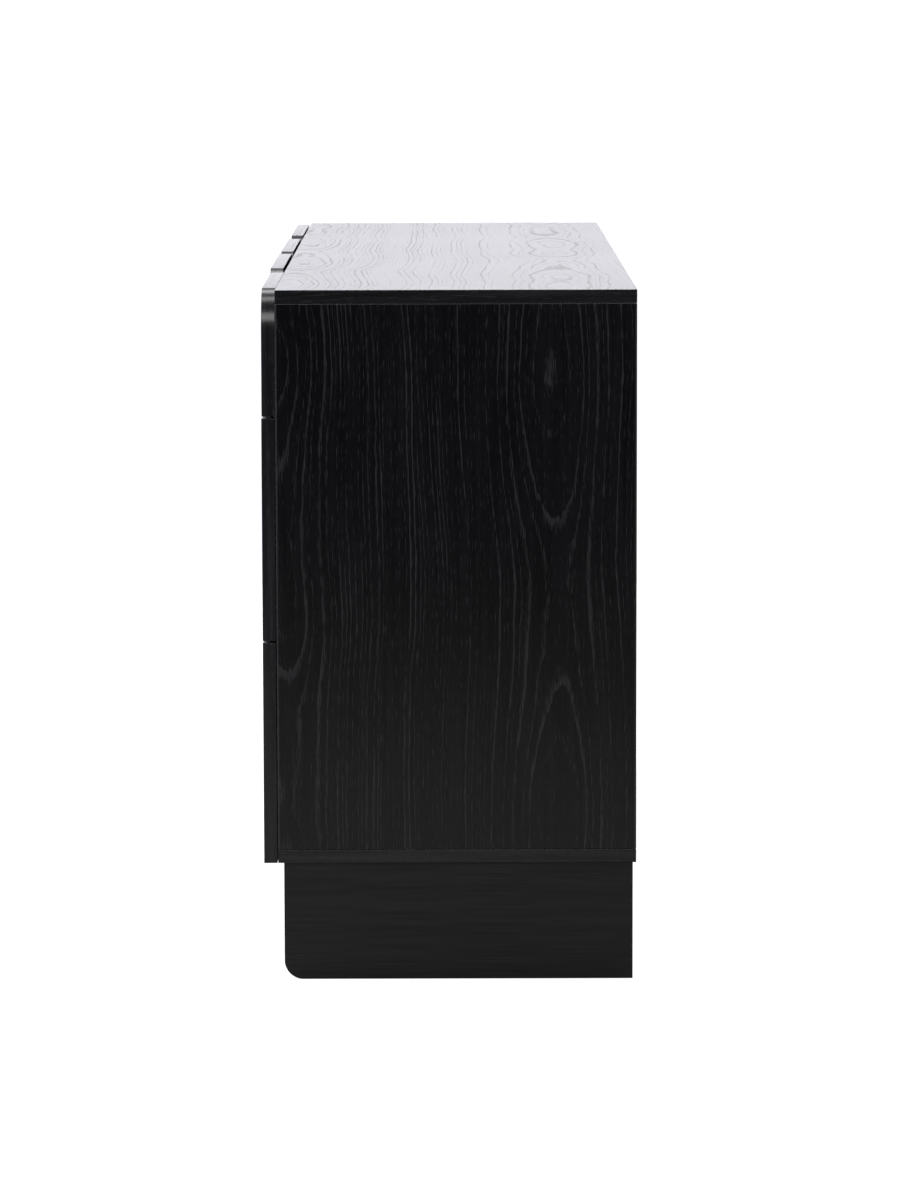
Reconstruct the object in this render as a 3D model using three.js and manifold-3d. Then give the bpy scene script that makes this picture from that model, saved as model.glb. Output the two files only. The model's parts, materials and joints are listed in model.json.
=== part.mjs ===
// A long, low dresser with eight drawers: four small ones in the top row over two rows of two wide ones.
// Millimetres. X runs along the length (left to right as its front is faced), the front faces -Y, +Z is up.
// The origin is on the floor, under the middle of the whole object's box.
import * as THREE from "three";
import { mergeVertices } from "three/addons/utils/BufferGeometryUtils.js";
import Module from "manifold-3d";

const wasm = await Module();
wasm.setup();

// ---- Driving dimensions ----

// The case.
const LENGTH = 1650;
const CASE_DEPTH = 430;
const CASE_HEIGHT = 688;
const BOARD = 16;
const BACK_THICKNESS = 3;
const BACK_INSET = 8;
const BACK_GROOVE = 6;
const PARTING = 0.3; // the fit line left between two boards that meet

// The drawer fronts, which cover the whole front of the case.
const FRONT_THICKNESS = 16;
const FRONT_SEAM = 2.5;
const TOP_FRONT_HEIGHT = 150;
const WIDE_CORNER_RADIUS = 50;
const CENTRE_CORNER_RADIUS = 32;
const PRESSED_GAP = 0.3; // behind a front that is pushed fully home
const MOST_GAP = 4; // behind the front that stands furthest out at rest

// The drawer boxes and their runners.
const BOX_WALL = 12;
const FLOOR_THICKNESS = 6;
const FLOOR_GROOVE = 5;
const FLOOR_RISE = 10; // from the box's lower edge to the underside of its floor
const TOP_BOX_LIFT = 7; // from the opening's lowest point to the box
const TOP_BOX_HEADROOM = 30;
const WIDE_BOX_LIFT = 14;
const WIDE_BOX_HEADROOM = 48;
const BOX_REAR_CLEARANCE = 39;
const RUNNER_SPACE = 12.7; // each side of a box
const RUNNER_CLEARANCE = 0.8; // between the channel and the box
const RUNNER_HEIGHT = 35;
const RUNNER_SHEET = 1.2;
const RUNNER_LIP = 4;
const RUNNER_SETBACK = 3;
const RUNNER_SHORTER_THAN_BOX = 30;

// The base.
const BASE_HEIGHT = 142;
const LEG_THICKNESS = 30;
const LEG_END_INSET = 3;
const LEG_FRONT_INSET = 7;
const LEG_REAR_INSET = 4;
const TOE_RADIUS = 23;
const BASE_RAIL_HEIGHT = 70;
const BASE_RAIL_THICKNESS = 18;
const BASE_RAIL_FRONT_INSET = 60;
const BASE_RAIL_REAR_INSET = 20;

// ---- Places worked out from them ----

const overallDepth = CASE_DEPTH + MOST_GAP + FRONT_THICKNESS;
const caseRear = overallDepth / 2;
const caseFront = caseRear - CASE_DEPTH;
const caseBottom = BASE_HEIGHT;
const caseTop = BASE_HEIGHT + CASE_HEIGHT;
const insideBottom = caseBottom + BOARD;
const insideTop = caseTop - BOARD;
const insideEnd = LENGTH / 2 - BOARD;
const backRear = caseRear - BACK_INSET;
const backFront = backRear - BACK_THICKNESS;

const wideFrontHeight = (CASE_HEIGHT - TOP_FRONT_HEIGHT - 2 * FRONT_SEAM) / 2;
const lowerSeam = caseBottom + wideFrontHeight + FRONT_SEAM / 2;
const upperSeam = caseTop - TOP_FRONT_HEIGHT - FRONT_SEAM / 2;
const shelfBottom = upperSeam - BOARD / 2;
const shelfTop = upperSeam + BOARD / 2;
const quarter = LENGTH / 4;

const boxDepth = backFront - caseFront - BOX_REAR_CLEARANCE;
const topBoxHeight = insideTop - shelfTop - TOP_BOX_LIFT - TOP_BOX_HEADROOM;
const wideBoxHeight = lowerSeam - insideBottom - WIDE_BOX_LIFT - WIDE_BOX_HEADROOM;
const runnerLength = boxDepth - RUNNER_SHORTER_THAN_BOX;
const runnerDepth = RUNNER_SPACE - PARTING - RUNNER_CLEARANCE;

// ---- Materials ----

const finishes = {
  blackOak: { color: 0x161517, roughness: 0.38, metalness: 0 },
  birch: { color: 0xc9a878, roughness: 0.55, metalness: 0 },
  hardboard: { color: 0x211d1b, roughness: 0.7, metalness: 0 },
  zinc: { color: 0xb4b7ba, roughness: 0.32, metalness: 1 },
};

// ---- Shared builders ----

const dresser = new THREE.Group();

function addMesh(group, name, geometry, finish) {
  const mesh = new THREE.Mesh(geometry, new THREE.MeshStandardMaterial(finishes[finish]));
  mesh.name = name;
  group.add(mesh);
  return mesh;
}

// A box between two corners; each argument is [low, high] along that axis.
function boxBetween(x, y, z) {
  const geometry = new THREE.BoxGeometry(x[1] - x[0], y[1] - y[0], z[1] - z[0]);
  return geometry.translate((x[0] + x[1]) / 2, (y[0] + y[1]) / 2, (z[0] + z[1]) / 2);
}

function toSolid(geometry) {
  const bare = geometry.clone();
  bare.deleteAttribute("normal");
  bare.deleteAttribute("uv");
  const merged = mergeVertices(bare, 1e-3);
  return new wasm.Manifold(
    new wasm.Mesh({
      numProp: 3,
      vertProperties: merged.attributes.position.array,
      triVerts: new Uint32Array(merged.index.array),
    }),
  );
}

function toGeometry(solid) {
  const mesh = solid.getMesh();
  const geometry = new THREE.BufferGeometry();
  geometry.setAttribute("position", new THREE.BufferAttribute(mesh.vertProperties, 3));
  geometry.setIndex(new THREE.BufferAttribute(mesh.triVerts, 1));
  geometry.computeVertexNormals();
  return geometry;
}

function cut(geometry, ...tools) {
  let solid = toSolid(geometry);
  for (const tool of tools) {
    solid = solid.subtract(toSolid(tool));
  }
  return toGeometry(solid);
}

// Extrudes an outline drawn in X and Z along Y, from y = 0 to y = depth.
function extrudeAlongY(shape, depth, curveSegments) {
  const geometry = new THREE.ExtrudeGeometry(shape, { depth, bevelEnabled: false, curveSegments });
  return geometry.rotateX(Math.PI / 2).translate(0, depth, 0);
}

// Extrudes an outline drawn in Y and Z along X, from x = 0 to x = width.
function extrudeAlongX(shape, width, curveSegments) {
  const geometry = new THREE.ExtrudeGeometry(shape, { depth: width, bevelEnabled: false, curveSegments });
  return geometry.rotateX(Math.PI / 2).rotateZ(Math.PI / 2);
}

// ---- Case ----

// The groove round the inside of the case that holds the back panels.
function backGroove() {
  const reach = BACK_GROOVE + PARTING;
  return boxBetween(
    [-insideEnd - reach, insideEnd + reach],
    [backFront - PARTING, backRear + PARTING],
    [insideBottom - reach, insideTop + reach],
  );
}

function addCase() {
  const shell = new THREE.Group();
  dresser.add(shell);
  const fullLength = [-LENGTH / 2, LENGTH / 2];
  const fullDepth = [caseFront, caseRear];
  const innerDepth = [caseFront, backFront - PARTING];
  const groove = backGroove();

  const lid = boxBetween(fullLength, fullDepth, [insideTop, caseTop]);
  addMesh(shell, "top_panel", cut(lid, groove), "blackOak");
  const bottom = boxBetween(fullLength, fullDepth, [caseBottom, insideBottom]);
  addMesh(shell, "bottom_panel", cut(bottom, groove), "blackOak");

  const sideHeight = [insideBottom + PARTING, insideTop - PARTING];
  const left = boxBetween([-LENGTH / 2, -insideEnd], fullDepth, sideHeight);
  addMesh(shell, "side_panel_left", cut(left, groove), "blackOak");
  const right = boxBetween([insideEnd, LENGTH / 2], fullDepth, sideHeight);
  addMesh(shell, "side_panel_right", cut(right, groove), "blackOak");

  const partition = boxBetween([-BOARD / 2, BOARD / 2], innerDepth, sideHeight);
  addMesh(shell, "centre_partition", partition, "blackOak");

  for (const [side, sign] of [["left", -1], ["right", 1]]) {
    const inner = sign * (BOARD / 2 + PARTING);
    const outer = sign * (insideEnd - PARTING);
    const bay = [Math.min(inner, outer), Math.max(inner, outer)];
    const shelf = boxBetween(bay, innerDepth, [shelfBottom, shelfTop]);
    addMesh(shell, "shelf_" + side, shelf, "blackOak");

    const middle = sign * quarter;
    const dividerWidth = [middle - BOARD / 2, middle + BOARD / 2];
    const dividerHeight = [shelfTop + PARTING, insideTop - PARTING];
    const divider = boxBetween(dividerWidth, innerDepth, dividerHeight);
    addMesh(shell, "upper_divider_" + side, divider, "blackOak");

    const meeting = (sign * PARTING) / 2;
    const edge = sign * (insideEnd + BACK_GROOVE);
    const backWidth = [Math.min(meeting, edge), Math.max(meeting, edge)];
    const backHeight = [insideBottom - BACK_GROOVE, insideTop + BACK_GROOVE];
    const back = boxBetween(backWidth, [backFront, backRear], backHeight);
    addMesh(shell, "back_panel_" + side, back, "hardboard");
  }
}

// ---- Base ----

// A slab leg seen from its end: square at the back, with a round toe at the front.
function legOutline() {
  const front = caseFront + LEG_FRONT_INSET;
  const rear = caseRear - LEG_REAR_INSET;
  const top = caseBottom - PARTING;
  const outline = new THREE.Shape();
  outline.moveTo(rear, 0);
  outline.lineTo(rear, top);
  outline.lineTo(front, top);
  outline.lineTo(front, TOE_RADIUS);
  outline.absarc(front + TOE_RADIUS, TOE_RADIUS, TOE_RADIUS, Math.PI, 1.5 * Math.PI, false);
  return outline;
}

function addBase() {
  const base = new THREE.Group();
  dresser.add(base);
  const endLeg = LENGTH / 2 - LEG_END_INSET - LEG_THICKNESS / 2;
  const legCentres = { leg_left: -endLeg, leg_centre: 0, leg_right: endLeg };
  for (const [name, x] of Object.entries(legCentres)) {
    const leg = addMesh(base, name, extrudeAlongX(legOutline(), LEG_THICKNESS, 12), "blackOak");
    leg.position.x = x - LEG_THICKNESS / 2;
  }

  const height = [caseBottom - PARTING - BASE_RAIL_HEIGHT, caseBottom - PARTING];
  const frontFace = caseFront + BASE_RAIL_FRONT_INSET;
  const rearFace = caseRear - BASE_RAIL_REAR_INSET;
  const depths = {
    front: [frontFace, frontFace + BASE_RAIL_THICKNESS],
    rear: [rearFace - BASE_RAIL_THICKNESS, rearFace],
  };
  const nearCentre = LEG_THICKNESS / 2 + PARTING;
  const nearEnd = endLeg - LEG_THICKNESS / 2 - PARTING;
  for (const [place, depth] of Object.entries(depths)) {
    const name = "base_rail_" + place;
    addMesh(base, name + "_left", boxBetween([-nearEnd, -nearCentre], depth, height), "blackOak");
    addMesh(base, name + "_right", boxBetween([nearCentre, nearEnd], depth, height), "blackOak");
  }
}

// ---- Drawers ----

// One entry for each drawer: the front's edges, the opening behind it, and how it stands at rest.
const outerLeft = -LENGTH / 2;
const outerRight = LENGTH / 2;
const halfSeam = FRONT_SEAM / 2;
const halfBoard = BOARD / 2;
const topRow = {
  front: [caseTop - TOP_FRONT_HEIGHT, caseTop],
  boxBottom: shelfTop + TOP_BOX_LIFT,
  boxHeight: topBoxHeight,
};
const middleRow = {
  front: [lowerSeam + halfSeam, upperSeam - halfSeam],
  boxBottom: lowerSeam + WIDE_BOX_LIFT,
  boxHeight: wideBoxHeight,
};
const lowerRow = {
  front: [caseBottom, lowerSeam - halfSeam],
  boxBottom: insideBottom + WIDE_BOX_LIFT,
  boxHeight: wideBoxHeight,
};
const drawers = [
  {
    name: "drawer_top_1",
    row: topRow,
    front: [outerLeft, -quarter - halfSeam],
    opening: [-insideEnd, -quarter - halfBoard],
    corners: [WIDE_CORNER_RADIUS, WIDE_CORNER_RADIUS],
    gap: 2.4,
  },
  {
    name: "drawer_top_2",
    row: topRow,
    front: [-quarter + halfSeam, -halfSeam],
    opening: [-quarter + halfBoard, -halfBoard],
    corners: [WIDE_CORNER_RADIUS, CENTRE_CORNER_RADIUS],
    gap: 3.4,
  },
  {
    name: "drawer_top_3",
    row: topRow,
    front: [halfSeam, quarter - halfSeam],
    opening: [halfBoard, quarter - halfBoard],
    corners: [CENTRE_CORNER_RADIUS, WIDE_CORNER_RADIUS],
    gap: MOST_GAP,
  },
  {
    name: "drawer_top_4",
    row: topRow,
    front: [quarter + halfSeam, outerRight],
    opening: [quarter + halfBoard, insideEnd],
    corners: [WIDE_CORNER_RADIUS, WIDE_CORNER_RADIUS],
    gap: PRESSED_GAP,
  },
];
for (const [rowName, row] of [["middle", middleRow], ["lower", lowerRow]]) {
  drawers.push({
    name: "drawer_" + rowName + "_left",
    row,
    front: [outerLeft, -halfSeam],
    opening: [-insideEnd, -halfBoard],
    corners: [0, 0],
    gap: 1.2,
  });
  drawers.push({
    name: "drawer_" + rowName + "_right",
    row,
    front: [halfSeam, outerRight],
    opening: [halfBoard, insideEnd],
    corners: [0, 0],
    gap: 0.8,
  });
}

// A front's outline, in X and Z from its lower left corner; corners are the radii at its top left and right.
function frontOutline(width, height, [leftRadius, rightRadius]) {
  const outline = new THREE.Shape();
  outline.moveTo(0, 0);
  outline.lineTo(width, 0);
  outline.lineTo(width, height - rightRadius);
  if (rightRadius > 0) {
    outline.absarc(width - rightRadius, height - rightRadius, rightRadius, 0, Math.PI / 2, false);
  }
  outline.lineTo(leftRadius, height);
  if (leftRadius > 0) {
    outline.absarc(leftRadius, height - leftRadius, leftRadius, Math.PI / 2, Math.PI, false);
  }
  return outline;
}

// Four walls glued into a ring, with a groove round the inside for the floor.
function boxWalls(width, height) {
  const depth = [PARTING, boxDepth + PARTING];
  const block = boxBetween([0, width], depth, [0, height]);
  const hollow = boxBetween(
    [BOX_WALL, width - BOX_WALL],
    [depth[0] + BOX_WALL, depth[1] - BOX_WALL],
    [-1, height + 1],
  );
  const reach = BOX_WALL - FLOOR_GROOVE - PARTING;
  const groove = boxBetween(
    [reach, width - reach],
    [depth[0] + reach, depth[1] - reach],
    [FLOOR_RISE - PARTING, FLOOR_RISE + FLOOR_THICKNESS + PARTING],
  );
  return cut(block, hollow, groove);
}

function boxFloor(width) {
  const edge = BOX_WALL - FLOOR_GROOVE;
  return boxBetween(
    [edge, width - edge],
    [PARTING + edge, boxDepth + PARTING - edge],
    [FLOOR_RISE, FLOOR_RISE + FLOOR_THICKNESS],
  );
}

// The runner's fixed member, a lipped channel; side is 1 where it opens towards +X, -1 towards -X.
function runnerChannel(side) {
  const half = RUNNER_HEIGHT / 2;
  const inner = runnerDepth - RUNNER_SHEET;
  const points = [
    [0, -half],
    [runnerDepth, -half],
    [runnerDepth, -half + RUNNER_LIP],
    [inner, -half + RUNNER_LIP],
    [inner, -half + RUNNER_SHEET],
    [RUNNER_SHEET, -half + RUNNER_SHEET],
    [RUNNER_SHEET, half - RUNNER_SHEET],
    [inner, half - RUNNER_SHEET],
    [inner, half - RUNNER_LIP],
    [runnerDepth, half - RUNNER_LIP],
    [runnerDepth, half],
    [0, half],
  ];
  const outline = new THREE.Shape(points.map(([x, z]) => new THREE.Vector2(side * x, z)));
  return extrudeAlongY(outline, runnerLength, 1);
}

function addDrawer({ name, row, front, opening, corners, gap }) {
  const drawer = new THREE.Group();
  drawer.position.set(front[0], caseFront - gap, row.front[0]);
  dresser.add(drawer);

  const outline = frontOutline(front[1] - front[0], row.front[1] - row.front[0], corners);
  const face = addMesh(drawer, name + "_front", extrudeAlongY(outline, FRONT_THICKNESS, 24), "blackOak");
  face.position.y = -FRONT_THICKNESS;

  const boxWidth = opening[1] - opening[0] - 2 * RUNNER_SPACE;
  const box = new THREE.Group();
  box.position.set(opening[0] + RUNNER_SPACE - front[0], 0, row.boxBottom - row.front[0]);
  drawer.add(box);
  addMesh(box, name + "_box", boxWalls(boxWidth, row.boxHeight), "birch");
  addMesh(box, name + "_floor", boxFloor(boxWidth), "birch");

  const runners = new THREE.Group();
  const runnerFront = caseFront + RUNNER_SETBACK;
  runners.position.set(0, runnerFront, row.boxBottom + row.boxHeight / 2);
  dresser.add(runners);
  const leftRunner = addMesh(runners, name + "_rail_left", runnerChannel(1), "zinc");
  leftRunner.position.x = opening[0] + PARTING;
  const rightRunner = addMesh(runners, name + "_rail_right", runnerChannel(-1), "zinc");
  rightRunner.position.x = opening[1] - PARTING;
}

addCase();
addBase();
drawers.forEach(addDrawer);

export default dresser;
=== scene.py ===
"""The looks of a long, low dresser in near-black oak veneer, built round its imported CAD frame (metres)."""
import json
import math

import bmesh
import bpy
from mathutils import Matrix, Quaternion, Vector

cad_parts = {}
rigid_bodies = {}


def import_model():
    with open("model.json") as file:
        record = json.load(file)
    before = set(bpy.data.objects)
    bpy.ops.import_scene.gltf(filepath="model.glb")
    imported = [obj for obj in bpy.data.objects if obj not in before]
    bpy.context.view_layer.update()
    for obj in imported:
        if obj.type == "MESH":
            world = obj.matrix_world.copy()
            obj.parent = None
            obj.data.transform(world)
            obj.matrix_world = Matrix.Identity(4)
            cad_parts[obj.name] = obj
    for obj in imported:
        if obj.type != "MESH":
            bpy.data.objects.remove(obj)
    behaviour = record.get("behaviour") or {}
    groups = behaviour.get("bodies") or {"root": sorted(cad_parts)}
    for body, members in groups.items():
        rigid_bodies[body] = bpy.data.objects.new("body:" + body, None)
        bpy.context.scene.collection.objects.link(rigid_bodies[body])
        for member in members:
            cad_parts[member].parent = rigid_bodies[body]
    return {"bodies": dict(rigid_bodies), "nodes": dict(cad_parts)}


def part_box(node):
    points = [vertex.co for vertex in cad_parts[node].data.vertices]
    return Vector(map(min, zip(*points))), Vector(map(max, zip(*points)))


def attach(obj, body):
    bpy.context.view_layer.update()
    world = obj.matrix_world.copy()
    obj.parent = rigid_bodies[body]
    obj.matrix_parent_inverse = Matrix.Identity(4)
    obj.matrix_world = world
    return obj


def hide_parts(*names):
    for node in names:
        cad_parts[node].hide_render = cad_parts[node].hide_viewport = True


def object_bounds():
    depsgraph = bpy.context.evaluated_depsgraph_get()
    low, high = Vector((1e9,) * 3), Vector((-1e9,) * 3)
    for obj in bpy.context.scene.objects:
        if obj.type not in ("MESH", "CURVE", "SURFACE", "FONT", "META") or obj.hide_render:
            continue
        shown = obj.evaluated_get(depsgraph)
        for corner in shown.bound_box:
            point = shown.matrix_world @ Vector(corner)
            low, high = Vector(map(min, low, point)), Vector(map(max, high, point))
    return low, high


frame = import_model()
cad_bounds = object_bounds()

# ---- Units, axes and measures taken from the frame ----

MM = 0.001
AXES = {"X": 0, "Y": 1, "Z": 2}
low, high = cad_bounds
end_panel_low, end_panel_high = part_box("side_panel_right")
top_height = high.z

# ---- Camera: a long lens, almost square on to the right-hand end and a little above it ----

CAMERA_DISTANCE = 6.0  # from the near end of the case
CAMERA_SIDE = 0.001  # towards the dresser's back
CAMERA_HEIGHT = 1.197
CAMERA_TILT = 7.004  # degrees below the horizon
CAMERA_YAW = -0.011
CAMERA_ROLL = -0.144
CAMERA_LENS = 151.98
SENSOR_WIDTH = 36
FARTHEST_SEEN = 200


def add_camera():
    data = bpy.data.cameras.new("camera")
    data.lens = CAMERA_LENS
    data.sensor_width = SENSOR_WIDTH
    data.clip_end = FARTHEST_SEEN
    camera = bpy.data.objects.new("camera", data)
    bpy.context.scene.collection.objects.link(camera)
    camera.location = (high.x + CAMERA_DISTANCE, CAMERA_SIDE, CAMERA_HEIGHT)
    tilt, yaw = math.radians(CAMERA_TILT), math.radians(CAMERA_YAW)
    level = math.cos(tilt)
    towards = Vector((-level * math.cos(yaw), -level * math.sin(yaw), -math.sin(tilt)))
    camera.rotation_mode = "QUATERNION"
    roll = Quaternion((0, 0, 1), math.radians(CAMERA_ROLL))
    camera.rotation_quaternion = towards.to_track_quat("-Z", "Y") @ roll
    bpy.context.scene.camera = camera


# ---- Shorthand for building node trees ----


class Graph:
    """A node tree with short calls: a socket or a plain number can be given for any input."""

    def __init__(self, tree):
        self.nodes = tree.nodes
        self.links = tree.links
        self.nodes.clear()

    def node(self, kind, inputs=None, **settings):
        made = self.nodes.new("ShaderNode" + kind)
        for key, value in settings.items():
            setattr(made, key, value)
        for key, value in (inputs or {}).items():
            self.put(made.inputs[key], value)
        return made

    def put(self, socket, value):
        if isinstance(value, bpy.types.NodeSocket):
            self.links.new(value, socket)
        else:
            socket.default_value = value

    def math(self, operation, *values):
        made = self.node("Math", operation=operation)
        for socket, value in zip(made.inputs, values):
            self.put(socket, value)
        return made.outputs[0]

    def add(self, a, b):
        return self.math("ADD", a, b)

    def times(self, a, b):
        return self.math("MULTIPLY", a, b)

    def vector(self, x, y, z):
        return self.node("CombineXYZ", {"X": x, "Y": y, "Z": z}).outputs[0]

    def noise(self, vector, scale=1.0, detail=2.0, roughness=0.5, distortion=0.0):
        inputs = {"Vector": vector, "Scale": scale, "Detail": detail}
        inputs |= {"Roughness": roughness, "Distortion": distortion}
        return self.node("TexNoise", inputs).outputs["Fac"]

    def ramp(self, value, start, end, low_value=0.0, high_value=1.0):
        """Smoothly from low_value at start to high_value at end."""
        made = self.node("MapRange", {"Value": value}, interpolation_type="SMOOTHSTEP", clamp=True)
        made.inputs["From Min"].default_value = start
        made.inputs["From Max"].default_value = end
        made.inputs["To Min"].default_value = low_value
        made.inputs["To Max"].default_value = high_value
        return made.outputs[0]

    def blend(self, factor, a, b):
        """a where factor is 0, b where it is 1, for numbers."""
        made = self.node("Mix", data_type="FLOAT")
        self.put(made.inputs[0], factor)
        self.put(made.inputs[2], a)
        self.put(made.inputs[3], b)
        return made.outputs[0]

    def blend_colour(self, factor, a, b):
        made = self.node("Mix", data_type="RGBA")
        self.put(made.inputs[0], factor)
        self.put(made.inputs[6], a)
        self.put(made.inputs[7], b)
        return made.outputs[2]


def new_material(name):
    material = bpy.data.materials.new(name)
    material.use_nodes = True
    return material, Graph(material.node_tree)


def finish_material(graph, colour, roughness, height, bump_distance, constants):
    """Joins colour, roughness and bump to a shader; constants are set straight on its sockets."""
    shader = graph.node("BsdfPrincipled", {"Base Color": colour, "Roughness": roughness})
    for key, value in constants.items():
        shader.inputs[key].default_value = value
    bump = graph.node("Bump", {"Height": height, "Distance": bump_distance, "Strength": 1.0})
    graph.links.new(bump.outputs[0], shader.inputs["Normal"])
    output = graph.node("OutputMaterial")
    graph.links.new(shader.outputs[0], output.inputs["Surface"])


# ---- Wood ----

LEAF_WIDTH = 0.33  # of one sheet of veneer; the next one is its mirror image
HEART_DEPTH = 0.05  # from the veneer to the middle of the tree
HEART_SWELL = 0.065  # how much that depth changes along the board, which draws the crowns
RING_WIDTH = 0.0052
RING_DRIFT = 0.04
RING_JAGS = 0.0016
RING_CROWDING = 2.2  # rings that good and bad years move together or apart
BANDING_OFFSET = 0.37  # keeps an edge's figure away from the face's
PORE_DEPTH = 0.02 * MM
# The arris constants draw a painted highlight: a lighter band of colour along two long edges of a board.
ARRIS_WIDTH = 2.8 * MM
ARRIS_CORE = 1.2 * MM
DARK_WOOD = ((0.0005, 0.0006, 0.0010, 1), (0.0019, 0.0020, 0.0026, 1))
PORE_WOOD = ((0.0078, 0.0080, 0.0092, 1), (0.0115, 0.0116, 0.0122, 1))
EDGE_WOOD = ((0.0023, 0.0024, 0.0032, 1), (0.0070, 0.0070, 0.0078, 1))
ARRIS_HIGHLIGHT_COLOUR = (0.0150, 0.0152, 0.0160, 1)
ARRIS_HIGHLIGHT_STRENGTH = 0.85
WOOD_GLOSS = 0.225
WOOD_ROUGHNESS = (0.25, 0.255)
PORE_ROUGHNESS = 0.298
BLACK_PAINT = ((0.0020, 0.0016, 0.0018, 1), (0.0064, 0.0057, 0.0060, 1))


def face_coordinates(graph, across, along):
    """Distances across and along the grain, and 1 on a board's edges, where the banding runs along."""
    through = ({"X", "Y", "Z"} - {across, along}).pop()
    place = graph.node("SeparateXYZ", {"Vector": graph.node("TexCoord").outputs["Object"]}).outputs
    facing = graph.node("SeparateXYZ", {"Vector": graph.node("NewGeometry").outputs["True Normal"]}).outputs
    on_edge = graph.math("LESS_THAN", graph.math("ABSOLUTE", facing[AXES[through]]), 0.5)
    edge_across = graph.add(place[AXES[through]], BANDING_OFFSET)
    edge_along = graph.add(place[AXES[across]], place[AXES[along]])
    return (
        graph.blend(on_edge, place[AXES[across]], edge_across),
        graph.blend(on_edge, place[AXES[along]], edge_along),
        on_edge,
    )


def stretched_noise(graph, across, along, across_scale, along_scale, seed, detail=1.0):
    """Noise with features about one over each scale long."""
    place = graph.vector(graph.times(across, across_scale), graph.times(along, along_scale), seed)
    return graph.noise(place, detail=detail)


def growth_rings(graph, across, along, seed, centre_at, waviness):
    """Crown-cut rings of mirrored veneer leaves: 0 to 1 through each ring, and that ring's chance."""
    wander = stretched_noise(graph, across, along, 5.0, 1.8, seed)
    moved = graph.add(across, graph.times(graph.add(wander, -0.5), RING_DRIFT))
    shifted = graph.add(moved, -centre_at)
    from_centre = graph.math("PINGPONG", shifted, LEAF_WIDTH / 2)
    leaf = graph.math("ROUND", graph.math("DIVIDE", shifted, LEAF_WIDTH))
    rise = stretched_noise(graph, leaf, along, 7.31, 3.2, seed + 3.7)
    depth = graph.add(graph.times(graph.add(rise, -0.5), HEART_SWELL), HEART_DEPTH)
    radius = graph.math("SQRT", graph.add(graph.times(from_centre, from_centre), graph.times(depth, depth)))
    waves = stretched_noise(graph, across, along, 34.0, 13.0, seed + 9.1, detail=2.0)
    jags = stretched_noise(graph, across, along, 260.0, 22.0, seed + 5.3)
    radius = graph.add(radius, graph.times(graph.add(waves, -0.5), waviness))
    radius = graph.add(radius, graph.times(graph.add(jags, -0.5), RING_JAGS))
    years = stretched_noise(graph, radius, leaf, 60.0, 1.0, seed + 1.9, detail=0.0)
    count = graph.add(graph.math("DIVIDE", radius, RING_WIDTH), graph.times(years, RING_CROWDING))
    number = graph.add(graph.math("FLOOR", count), graph.times(leaf, 31.7))
    chance = graph.node("TexWhiteNoise", {"W": graph.add(number, seed)}, noise_dimensions="1D")
    return graph.math("FRACT", count), chance.outputs["Value"]


def open_pores(graph, across, along, on_edge, seed, centre_at, waviness):
    """How open the pores are, 0 to 1: crowded in each ring's early wood, with fine streaks in between."""
    ring, chance = growth_rings(graph, across, along, seed, centre_at, waviness)
    narrowing = graph.ramp(chance, 0.0, 1.0, 1.8, 0.8)
    fading = graph.ramp(graph.times(ring, narrowing), 0.1, 0.48, 1.0, 0.0)
    early = graph.times(graph.ramp(ring, 0.0, 0.08), fading)
    patches = stretched_noise(graph, across, along, 17.0, 4.0, seed + 11.0, detail=2.0)
    early = graph.times(early, graph.ramp(patches, 0.32, 0.62, 0.4, 1.0))
    early = graph.times(early, graph.ramp(chance, 0.0, 1.0, 0.4, 1.0))
    early = graph.blend(on_edge, early, graph.times(early, 0.5))
    pores = stretched_noise(graph, across, along, 1250.0, 60.0, seed)
    streaks = stretched_noise(graph, across, along, 360.0, 5.5, seed + 2.0, detail=3.0)
    openness = graph.add(graph.times(early, 0.38), graph.times(graph.add(streaks, -0.5), 0.36))
    return graph.ramp(graph.add(pores, openness), 0.575, 0.875)


def painted_arris_highlight(graph, across, arris):
    """0 on the board, rising to the highlight strength along the two long edges that lie at arris: the mask
    of a highlight painted into the colour.
    """
    from_middle = graph.math("ABSOLUTE", graph.add(across, -sum(arris) / 2))
    half = (arris[1] - arris[0]) / 2
    return graph.ramp(from_middle, half - ARRIS_WIDTH, half - ARRIS_CORE, 0.0, ARRIS_HIGHLIGHT_STRENGTH)


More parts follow.
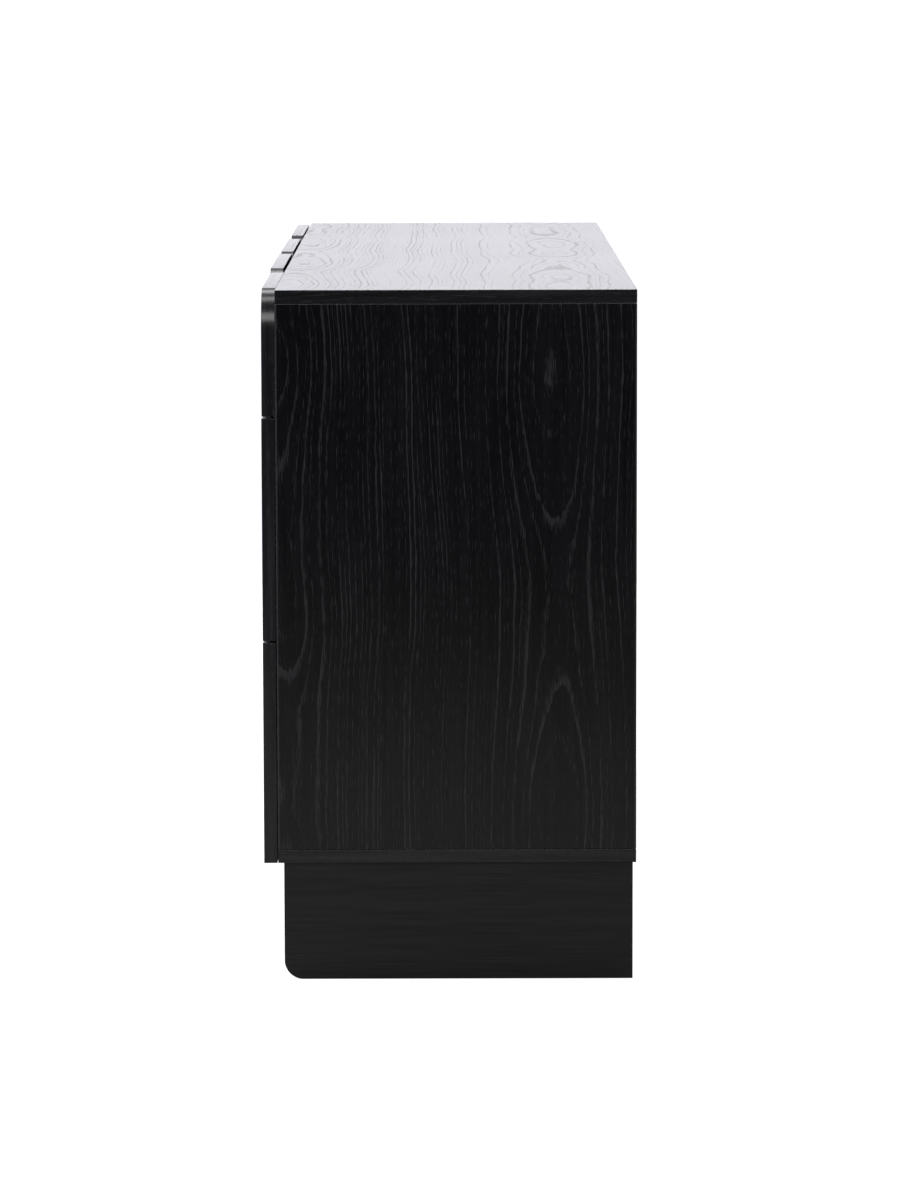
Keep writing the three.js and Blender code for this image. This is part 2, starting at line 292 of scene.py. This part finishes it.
def black_oak(name, across, along, seed, centre_at=0.0, waviness=0.0026, arris=None):
    """Near-black stained oak veneer: dark and smooth late wood, and lines of paler, rougher open pores.

    arris holds the places across the board of two long edges, where a highlight is painted into the colour.
    """
    material, graph = new_material(name)
    cross, grain, on_edge = face_coordinates(graph, across, along)
    open_pore = open_pores(graph, cross, grain, on_edge, seed, centre_at, waviness)
    cloud = stretched_noise(graph, cross, grain, 9.0, 2.0, seed + 6.0, detail=2.0)
    bands = stretched_noise(graph, cross, grain, 150.0, 5.0, seed + 13.0, detail=3.0)
    stain = graph.ramp(graph.add(graph.times(bands, 0.7), graph.times(cloud, 0.3)), 0.35, 0.68)
    face_wood = graph.blend_colour(stain, DARK_WOOD[0], DARK_WOOD[1])
    edge_wood = graph.blend_colour(stain, EDGE_WOOD[0], EDGE_WOOD[1])
    dark = graph.blend_colour(on_edge, face_wood, edge_wood)
    pale = graph.blend_colour(cloud, PORE_WOOD[0], PORE_WOOD[1])
    colour = graph.blend_colour(open_pore, dark, pale)
    # Painted highlight: a lighter colour blended in along the two arrises, where light would catch the eased
    # edges.
    if arris:
        colour = graph.blend_colour(painted_arris_highlight(graph, cross, arris), colour, ARRIS_HIGHLIGHT_COLOUR)
    closed_wood = graph.ramp(cloud, 0.3, 0.7, WOOD_ROUGHNESS[0], WOOD_ROUGHNESS[1])
    roughness = graph.blend(open_pore, closed_wood, PORE_ROUGHNESS)
    height = graph.times(open_pore, -1.0)
    finish_material(graph, colour, roughness, height, PORE_DEPTH, {"Specular IOR Level": WOOD_GLOSS})
    return material


def black_paint(name, across, along, seed):
    """The base's finish: filled grain under slightly warm black paint, with faint lines along it."""
    material, graph = new_material(name)
    cross, grain, _ = face_coordinates(graph, across, along)
    fine = stretched_noise(graph, cross, grain, 900.0, 9.0, seed, detail=3.0)
    broad = stretched_noise(graph, cross, grain, 60.0, 2.5, seed + 4.0, detail=2.0)
    shade = graph.add(graph.times(fine, 0.75), graph.times(broad, 0.25))
    level = graph.ramp(shade, 0.35, 0.65)
    colour = graph.blend_colour(level, BLACK_PAINT[0], BLACK_PAINT[1])
    roughness = graph.ramp(shade, 0.35, 0.65, 0.40, 0.46)
    finish_material(graph, colour, roughness, shade, 0.02 * MM, {"Specular IOR Level": 0.2})
    return material


# ---- The other materials ----

PLY_LAYER = 1.35 * MM
PLY_SEAM = (0.55 * MM, 0.75 * MM)  # where a pale layer turns into a dark one
PLY_UNEVENNESS = 0.12 * MM
BIRCH_FACE = ((0.56, 0.415, 0.26, 1), (0.48, 0.34, 0.20, 1))
BIRCH_FIBRE = (0.41, 0.28, 0.16, 1)
BIRCH_EDGE = ((0.53, 0.39, 0.24, 1), (0.27, 0.17, 0.09, 1))
HARDBOARD = ((0.013, 0.0115, 0.0105, 1), (0.028, 0.025, 0.023, 1))
ZINC = ((0.62, 0.63, 0.66, 1), (0.68, 0.69, 0.71, 1))


def birch_ply(name, thickness, along, seed):
    """Clear-lacquered birch plywood: faint rotary-cut figure on its faces and the layers on its edges."""
    across = ({"X", "Y", "Z"} - {thickness, along}).pop()
    material, graph = new_material(name)
    place = graph.node("SeparateXYZ", {"Vector": graph.node("TexCoord").outputs["Object"]}).outputs
    facing = graph.node("SeparateXYZ", {"Vector": graph.node("NewGeometry").outputs["True Normal"]}).outputs
    on_edge = graph.math("LESS_THAN", graph.math("ABSOLUTE", facing[AXES[thickness]]), 0.5)
    cross, grain, depth = place[AXES[across]], place[AXES[along]], place[AXES[thickness]]
    swell = stretched_noise(graph, cross, grain, 14.0, 2.4, seed, detail=3.0)
    lines = graph.math("FRACT", graph.times(swell, 11.0))
    figure = graph.times(graph.ramp(lines, 0.0, 0.5), graph.ramp(lines, 0.5, 1.0, 1.0, 0.0))
    fibres = stretched_noise(graph, cross, grain, 1400.0, 40.0, seed + 3.0, detail=2.0)
    face = graph.blend_colour(figure, BIRCH_FACE[0], BIRCH_FACE[1])
    face = graph.blend_colour(graph.ramp(fibres, 0.35, 0.75, 0.0, 0.5), face, BIRCH_FIBRE)
    layer = graph.math("PINGPONG", graph.add(depth, graph.times(fibres, PLY_UNEVENNESS)), PLY_LAYER)
    edge_grain = graph.ramp(layer, PLY_SEAM[0], PLY_SEAM[1])
    edge = graph.blend_colour(edge_grain, BIRCH_EDGE[0], BIRCH_EDGE[1])
    colour = graph.blend_colour(on_edge, face, edge)
    roughness = graph.ramp(fibres, 0.3, 0.7, 0.36, 0.46)
    finish_material(graph, colour, roughness, fibres, 0.02 * MM, {"Specular IOR Level": 0.4})
    return material


def hardboard(name):
    """Dark painted hardboard: matt, with pressed fibres lying every way."""
    material, graph = new_material(name)
    place = graph.node("TexCoord").outputs["Object"]
    fibres = graph.noise(place, scale=420.0, detail=4.0, roughness=0.7, distortion=1.2)
    clouds = graph.noise(place, scale=7.0, detail=2.0)
    shade = graph.add(graph.times(fibres, 0.7), graph.times(clouds, 0.3))
    level = graph.ramp(shade, 0.35, 0.65)
    colour = graph.blend_colour(level, HARDBOARD[0], HARDBOARD[1])
    roughness = graph.ramp(fibres, 0.3, 0.7, 0.62, 0.78)
    finish_material(graph, colour, roughness, fibres, 0.06 * MM, {"Specular IOR Level": 0.35})
    return material


def zinc_steel(name):
    """Bright zinc-plated rolled steel: rolling lines along the runner and a faint mottle."""
    material, graph = new_material(name)
    place = graph.node("SeparateXYZ", {"Vector": graph.node("TexCoord").outputs["Object"]}).outputs
    rolling = stretched_noise(graph, place["Z"], place["Y"], 2600.0, 12.0, 1.0, detail=2.0)
    mottle = graph.noise(graph.node("TexCoord").outputs["Object"], scale=260.0, detail=3.0)
    level = graph.ramp(mottle, 0.35, 0.65)
    colour = graph.blend_colour(level, ZINC[0], ZINC[1])
    roughness = graph.add(graph.ramp(rolling, 0.3, 0.7, 0.28, 0.36), graph.times(level, 0.03))
    finish_material(graph, colour, roughness, rolling, 0.01 * MM, {"Metallic": 1.0})
    return material


# ---- Stage: floor, lights and surroundings ----

FLOOR_RADIUS = 3.2
FLOOR_SIDES = 128
FLOOR_DROP = 0.5 * MM
FLOOR_GLOW = 0.75
FLOOR_PAINT = ((0.345, 0.34, 0.325, 1), (0.36, 0.355, 0.34, 1))
STUDIO_TINT = (0.945, 0.945, 1.0, 1)
EVEN_LIGHT = 0.92
REAR_WALL = 2.26
BACKDROP = 1.12


def add_floor():
    """A pale grey disc for the light on the object, which looks white to the camera."""
    mesh = bpy.data.meshes.new("floor")
    form = bmesh.new()
    bmesh.ops.create_circle(form, cap_ends=True, radius=FLOOR_RADIUS, segments=FLOOR_SIDES)
    form.to_mesh(mesh)
    form.free()
    floor = bpy.data.objects.new("floor", mesh)
    bpy.context.scene.collection.objects.link(floor)
    floor.location.z = -FLOOR_DROP
    material, graph = new_material("floor_paint")
    speckle = graph.noise(graph.node("TexCoord").outputs["Object"], scale=3.0)
    colour = graph.blend_colour(speckle, FLOOR_PAINT[0], FLOOR_PAINT[1])
    paint_shader = graph.node("BsdfDiffuse", {"Color": colour})
    seen = graph.node("LightPath").outputs["Is Camera Ray"]
    glow = graph.node("Emission", {"Strength": graph.times(seen, FLOOR_GLOW)})
    both = graph.node("AddShader")
    graph.links.new(paint_shader.outputs[0], both.inputs[0])
    graph.links.new(glow.outputs[0], both.inputs[1])
    output = graph.node("OutputMaterial")
    graph.links.new(both.outputs[0], output.inputs["Surface"])
    mesh.materials.append(material)


def add_softbox(name, place, towards, size, brightness, in_gloss=True):
    """An area light that the camera doesn't see; brightness is its radiance."""
    data = bpy.data.lights.new(name, "AREA")
    data.shape = "RECTANGLE"
    data.size, data.size_y = size
    data.energy = brightness * math.pi * size[0] * size[1]
    light = bpy.data.objects.new(name, data)
    bpy.context.scene.collection.objects.link(light)
    light.visible_camera = False
    light.visible_glossy = in_gloss
    light.location = place
    light.rotation_mode = "QUATERNION"
    light.rotation_quaternion = (Vector(towards) - Vector(place)).to_track_quat("-Z", "Y")


def add_world():
    """A pale studio: even light for matt surfaces; for gloss, a bright rear wall and a dim near end."""
    world = bpy.data.worlds.new("studio")
    bpy.context.scene.world = world
    world.use_nodes = True
    graph = Graph(world.node_tree)
    direction = graph.node("SeparateXYZ", {"Vector": graph.node("TexCoord").outputs["Generated"]}).outputs
    near, up = direction["X"], direction["Z"]
    room = graph.times(graph.ramp(near, 0.8, 0.2, 0.03, 0.8), graph.ramp(up, 0.08, 0.25, 1.0, 0.6))
    wall_glow = graph.ramp(near, -0.6, -0.95, 0.0, REAR_WALL)
    rear_wall = graph.times(wall_glow, graph.ramp(up, 0.07, 0.2, 1.0, 0.0))
    below_gap = graph.ramp(up, 0.68, 0.84, 1.0, 0.24)
    studio = graph.times(graph.add(room, rear_wall), below_gap)
    path = graph.node("LightPath").outputs
    strength = graph.blend(path["Is Glossy Ray"], EVEN_LIGHT, studio)
    strength = graph.blend(path["Is Camera Ray"], strength, BACKDROP)
    background = graph.node("Background", {"Color": STUDIO_TINT, "Strength": strength})
    output = graph.node("OutputWorld")
    graph.links.new(background.outputs[0], output.inputs["Surface"])


def add_stage():
    """The floor, the world and the light boxes; each box's numbers are place, aim, size and brightness."""
    add_floor()
    add_world()
    add_softbox("overhead_box", (0.4, 0.0, top_height + 3.0), (0.4, 0.0, 0.0), (0.8, 3.0), 9.5)
    near_corner = (high.x, 0, top_height)
    add_softbox("end_box", (high.x + 2.7, -0.2, top_height + 2.2), near_corner, (2.4, 1.3), 11.0)
    add_softbox("far_box", (high.x - 3.1, 0, top_height + 3.3), near_corner, (2.6, 1.3), 6.5)
    add_softbox("key_box", (high.x + 2.2, -2.7, 0.42), (high.x, low.y, 0.42), (1.4, 0.8), 10.0)
    add_softbox("front_box", (-0.9, -3.4, 2.7), (0, low.y, 0.5), (3.2, 1.6), 13.0, in_gloss=False)
    add_softbox("back_box", (-0.6, 3.6, 2.6), (0, high.y, 0.5), (3.2, 1.6), 2.5)
    bpy.context.scene.view_settings.view_transform = "Standard"


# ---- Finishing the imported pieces: welded, smooth by angle, and with slightly eased edges ----

SMOOTH_BELOW = 30  # degrees between two faces
EASE_ABOVE = 40
EASE_SEGMENTS = 2
WELD_DISTANCE = 0.01 * MM
BOARD_EASING = 0.7 * MM
CHANNEL_EASING = 0.25 * MM


def easing_group():
    """A node group that welds a mesh and shades it smooth except over its sharp edges."""
    group = bpy.data.node_groups.new("weld_and_smooth", "GeometryNodeTree")
    group.interface.new_socket("Geometry", in_out="INPUT", socket_type="NodeSocketGeometry")
    group.interface.new_socket("Geometry", in_out="OUTPUT", socket_type="NodeSocketGeometry")
    nodes, links = group.nodes, group.links
    start, end = nodes.new("NodeGroupInput"), nodes.new("NodeGroupOutput")
    weld = nodes.new("GeometryNodeMergeByDistance")
    weld.inputs["Distance"].default_value = WELD_DISTANCE
    smooth = nodes.new("GeometryNodeSetShadeSmooth")
    sharp = nodes.new("GeometryNodeSetShadeSmooth")
    sharp.domain = "EDGE"
    sharp.inputs["Shade Smooth"].default_value = False
    angle = nodes.new("GeometryNodeInputMeshEdgeAngle")
    over = nodes.new("FunctionNodeCompare")
    over.operation = "GREATER_THAN"
    over.inputs[1].default_value = math.radians(SMOOTH_BELOW)
    links.new(start.outputs[0], weld.inputs["Geometry"])
    links.new(weld.outputs[0], smooth.inputs["Geometry"])
    links.new(smooth.outputs[0], sharp.inputs["Geometry"])
    links.new(angle.outputs[0], over.inputs[0])
    links.new(over.outputs[0], sharp.inputs["Selection"])
    links.new(sharp.outputs[0], end.inputs[0])
    return group


def ease_edges(piece, radius, group=None):
    """Adds a small rounded bevel to a piece, after the weld and smoothing where a group is given."""
    if group:
        weld = piece.modifiers.new("weld", "NODES")
        weld.node_group = group
    bevel = piece.modifiers.new("eased_edges", "BEVEL")
    bevel.width = radius
    bevel.segments = EASE_SEGMENTS
    bevel.limit_method = "ANGLE"
    bevel.angle_limit = math.radians(EASE_ABOVE)
    bevel.harden_normals = group is not None


def paint(piece, material):
    piece.data.materials.clear()
    piece.data.materials.append(material)


def finish_boards(group, looks):
    """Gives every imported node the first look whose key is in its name, and eases its sharp edges."""
    for name, node in frame["nodes"].items():
        kind = next(kind for kind in looks if kind in name)
        paint(node, looks[kind])
        is_channel = name.startswith("drawer") and "_rail_" in name
        ease_edges(node, CHANNEL_EASING if is_channel else BOARD_EASING, group)


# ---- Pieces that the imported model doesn't hold ----

DRAWERS = [name for name in frame["bodies"] if name.startswith("drawer")]
WALL = 12 * MM
FINGER = 17 * MM
STEEL = 1.2 * MM
MEMBER_HEIGHT = 24 * MM
MEMBER_DEPTH = 9.5 * MM
SCREW_RADIUS = 3.5 * MM
SCREW_HEIGHT = 1.7 * MM
SCREW_SOCKET = 1.3 * MM
SCREW_SIDES = 24
RUNNER_SCREWS = (0.12, 0.5, 0.88)  # shares of the runner's length
RAIL_SCREW_SHIFT = 18 * MM  # a channel's screws lie behind its member's
FRONT_SCREWS = (0.38, 0.74)  # shares of the box's height
FRONT_SCREW_INSET = 45 * MM
SMALL_BOX = 0.5  # a box narrower than this has two columns of screws, and a wider one four
WALL_EASING = 0.35 * MM
MEMBER_EASING = 0.3 * MM
WEDGE_EASING = 0.4 * MM
WEDGES_ALONG = 4
WEDGES_UP = 3
WEDGE_LENGTH = 24 * MM
WEDGE_SIDE = 6 * MM


def place_point(axes, u, v, w):
    """A point with u, v and w along the three named axes."""
    point = [0.0, 0.0, 0.0]
    for axis, value in zip(axes, (u, v, w)):
        point[AXES[axis]] = value
    return point


def add_prism(form, outline, start, end, axes, material=0):
    """A closed solid: its outline lies along the first two axes, and it runs along the third."""
    rings = [[form.verts.new(place_point(axes, u, v, w)) for u, v in outline] for w in (start, end)]
    faces = [form.faces.new(rings[0]), form.faces.new(rings[1])]
    for i in range(len(outline)):
        j = (i + 1) % len(outline)
        faces.append(form.faces.new((rings[0][i], rings[0][j], rings[1][j], rings[1][i])))
    for face in faces:
        face.material_index = material


def add_piece(name, form, body, materials, easing=None):
    """Makes a bmesh into an object that rides on a body."""
    bmesh.ops.recalc_face_normals(form, faces=form.faces)
    mesh = bpy.data.meshes.new(name)
    form.to_mesh(mesh)
    form.free()
    piece = bpy.data.objects.new(name, mesh)
    bpy.context.scene.collection.objects.link(piece)
    for material in materials:
        mesh.materials.append(material)
    if easing:
        ease_edges(piece, easing)
    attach(piece, body)
    return piece


def fingered_outline(start, end, bottom, top, first_out):
    """A board's outline with square fingers at both ends; the lowest stands out if first_out is true."""
    count = 2 * round((top - bottom) / FINGER / 2) + 1
    step = (top - bottom) / count
    right, left = [], []
    for i in range(count):
        inset = 0.0 if (i % 2 == 0) == first_out else WALL
        for z in (bottom + i * step, bottom + (i + 1) * step):
            right.append((end - inset, z))
            left.append((start + inset, z))
    return right + left[::-1]


def add_drawer_boxes(side_ply, end_ply):
    """Each packed box becomes four plywood boards finger-jointed at the corners."""
    for drawer in DRAWERS:
        lo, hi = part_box(drawer + "_box")
        form = bmesh.new()
        side = fingered_outline(lo.y, hi.y, lo.z, hi.z, True)
        for x in (lo.x, hi.x - WALL):
            add_prism(form, side, x, x + WALL, "YZX", 0)
        end = fingered_outline(lo.x, hi.x, lo.z, hi.z, False)
        for y in (lo.y, hi.y - WALL):
            add_prism(form, end, y, y + WALL, "XZY", 1)
        boards = add_piece(drawer + "_walls", form, drawer, [side_ply, end_ply], WALL_EASING)
        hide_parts(drawer + "_box")


def add_screw(form, place, facing):
    """A button-head screw with a hexagon socket; facing is the unit direction that its head faces."""
    turn = facing.to_track_quat("Z", "X")
    angles = [i * math.tau / SCREW_SIDES for i in range(SCREW_SIDES)]
    per_flat = SCREW_SIDES // 6
    from_flat = [angles[i % per_flat] - angles[per_flat // 2] for i in range(SCREW_SIDES)]
    hexagon = [SCREW_SOCKET / math.cos(angle) for angle in from_flat]
    profile = [
        ([SCREW_RADIUS] * SCREW_SIDES, 0.0),
        ([SCREW_RADIUS] * SCREW_SIDES, 0.35 * SCREW_HEIGHT),
        ([0.86 * SCREW_RADIUS] * SCREW_SIDES, 0.75 * SCREW_HEIGHT),
        ([0.55 * SCREW_RADIUS] * SCREW_SIDES, SCREW_HEIGHT),
        (hexagon, SCREW_HEIGHT),
        (hexagon, 0.3 * SCREW_HEIGHT),
    ]
    rings = []
    for radii, height in profile:
        ring = []
        for radius, angle in zip(radii, angles):
            point = Vector((radius * math.cos(angle), radius * math.sin(angle), height))
            ring.append(form.verts.new(place + turn @ point))
        rings.append(ring)
    for lower, upper in zip(rings, rings[1:]):
        for i in range(SCREW_SIDES):
            j = (i + 1) % SCREW_SIDES
            form.faces.new((lower[i], lower[j], upper[j], upper[i]))
    form.faces.new(rings[0])
    form.faces.new(rings[-1])


def add_runner_members(steel):
    """The moving half of each runner, screwed to the box wall, and the screws of both halves."""
    for drawer in DRAWERS:
        lo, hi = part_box(drawer + "_box")
        for side, face, out in (("left", lo.x, -1), ("right", hi.x, 1)):
            rail_lo, rail_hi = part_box(f"{drawer}_rail_{side}")
            middle = (rail_lo.z + rail_hi.z) / 2
            reach, half = face + out * MEMBER_DEPTH, MEMBER_HEIGHT / 2
            web = face + out * STEEL
            outline = [
                (face, middle - half),
                (reach, middle - half),
                (reach, middle - half + STEEL),
                (web, middle - half + STEEL),
                (web, middle + half - STEEL),
                (reach, middle + half - STEEL),
                (reach, middle + half),
                (face, middle + half),
            ]
            form = bmesh.new()
            add_prism(form, outline, rail_lo.y, rail_hi.y, "XZY")
            add_piece(f"{drawer}_member_{side}", form, drawer, [steel], MEMBER_EASING)
            screws, rail_screws = bmesh.new(), bmesh.new()
            wall = (rail_lo.x if out < 0 else rail_hi.x) - out * STEEL
            for share in RUNNER_SCREWS:
                y = rail_lo.y + share * (rail_hi.y - rail_lo.y)
                add_screw(screws, Vector((web, y, middle)), Vector((out, 0, 0)))
                add_screw(rail_screws, Vector((wall, y + RAIL_SCREW_SHIFT, middle)), Vector((-out, 0, 0)))
            add_piece(f"{drawer}_member_{side}_screws", screws, drawer, [steel])
            add_piece(f"{drawer}_rail_{side}_screws", rail_screws, "case", [steel])


def add_front_screws(steel):
    """Screws through each box into the back of its front."""
    for drawer in DRAWERS:
        lo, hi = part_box(drawer + "_box")
        form = bmesh.new()
        columns = 2 if hi.x - lo.x < SMALL_BOX else 4
        step = (hi.x - lo.x - 2 * FRONT_SCREW_INSET) / (columns - 1)
        for i in range(columns):
            x = lo.x + FRONT_SCREW_INSET + i * step
            for share in FRONT_SCREWS:
                z = lo.z + share * (hi.z - lo.z)
                add_screw(form, Vector((x, lo.y + WALL, z)), Vector((0, 1, 0)))
        add_piece(drawer + "_front_screws", form, drawer, [steel])


def add_wedge_row(form, rear, start, end, edges, count, axes):
    """A row of wedges along each of two facing edges, spread evenly from start to end."""
    for i in range(count):
        place = start + (i + 0.5) * (end - start) / count - WEDGE_LENGTH / 2
        for edge, into in zip(edges, (WEDGE_SIDE, -WEDGE_SIDE)):
            corner = [(rear, edge), (rear + WEDGE_SIDE, edge), (rear, edge + into)]
            add_prism(form, corner, place, place + WEDGE_LENGTH, axes)


def add_back_wedges(material):
    """Small wedges that hold each back panel in its groove, seen only from behind."""
    heights = (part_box("bottom_panel")[1].z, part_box("top_panel")[0].z)
    partition_lo, partition_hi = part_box("centre_partition")
    left_wall, right_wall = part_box("side_panel_left")[1].x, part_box("side_panel_right")[0].x
    for side, span in (("left", (left_wall, partition_lo.x)), ("right", (partition_hi.x, right_wall))):
        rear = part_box("back_panel_" + side)[1].y
        form = bmesh.new()
        add_wedge_row(form, rear, *span, heights, WEDGES_ALONG, "YZX")
        add_wedge_row(form, rear, *heights, span, WEDGES_UP, "YXZ")
        add_piece(f"back_panel_{side}_wedges", form, "case", [material], WEDGE_EASING)


# ---- The dresser ----

add_camera()
add_stage()
end_panel_edges = (end_panel_low.y, end_panel_high.y)
upright_oak = black_oak("oak_end_panels", "Y", "Z", 1.0, centre_at=0.130, arris=end_panel_edges)
steel = zinc_steel("zinc_steel")
board = hardboard("painted_hardboard")
side_walls_ply = birch_ply("ply_side_walls", "X", "Y", 8.0)
end_walls_ply = birch_ply("ply_end_walls", "Y", "X", 9.0)
# The first key that is found in a node's name says its look, and the last key fits every name.
node_looks = {
    "leg": black_paint("paint_legs", "Z", "Y", 2.0),
    "base_rail": black_paint("paint_rails", "Z", "X", 3.0),
    "_front": black_oak("oak_fronts", "Z", "X", 7.0, centre_at=0.3),
    "_rail_left": steel,
    "_rail_right": steel,
    "_box": side_walls_ply,
    "_floor": birch_ply("ply_floors", "Z", "X", 5.0),
    "back_panel": board,
    "top_panel": black_oak("oak_top", "Y", "X", 4.0, centre_at=0.14, waviness=0.0048),
    "bottom_panel": black_oak("oak_bottom", "Y", "X", 14.0, centre_at=0.02),
    "shelf": black_oak("oak_shelves", "Y", "X", 24.0),
    "": upright_oak,
}
finish_boards(easing_group(), node_looks)
add_drawer_boxes(side_walls_ply, end_walls_ply)
add_runner_members(steel)
add_front_screws(steel)
add_back_wedges(board)
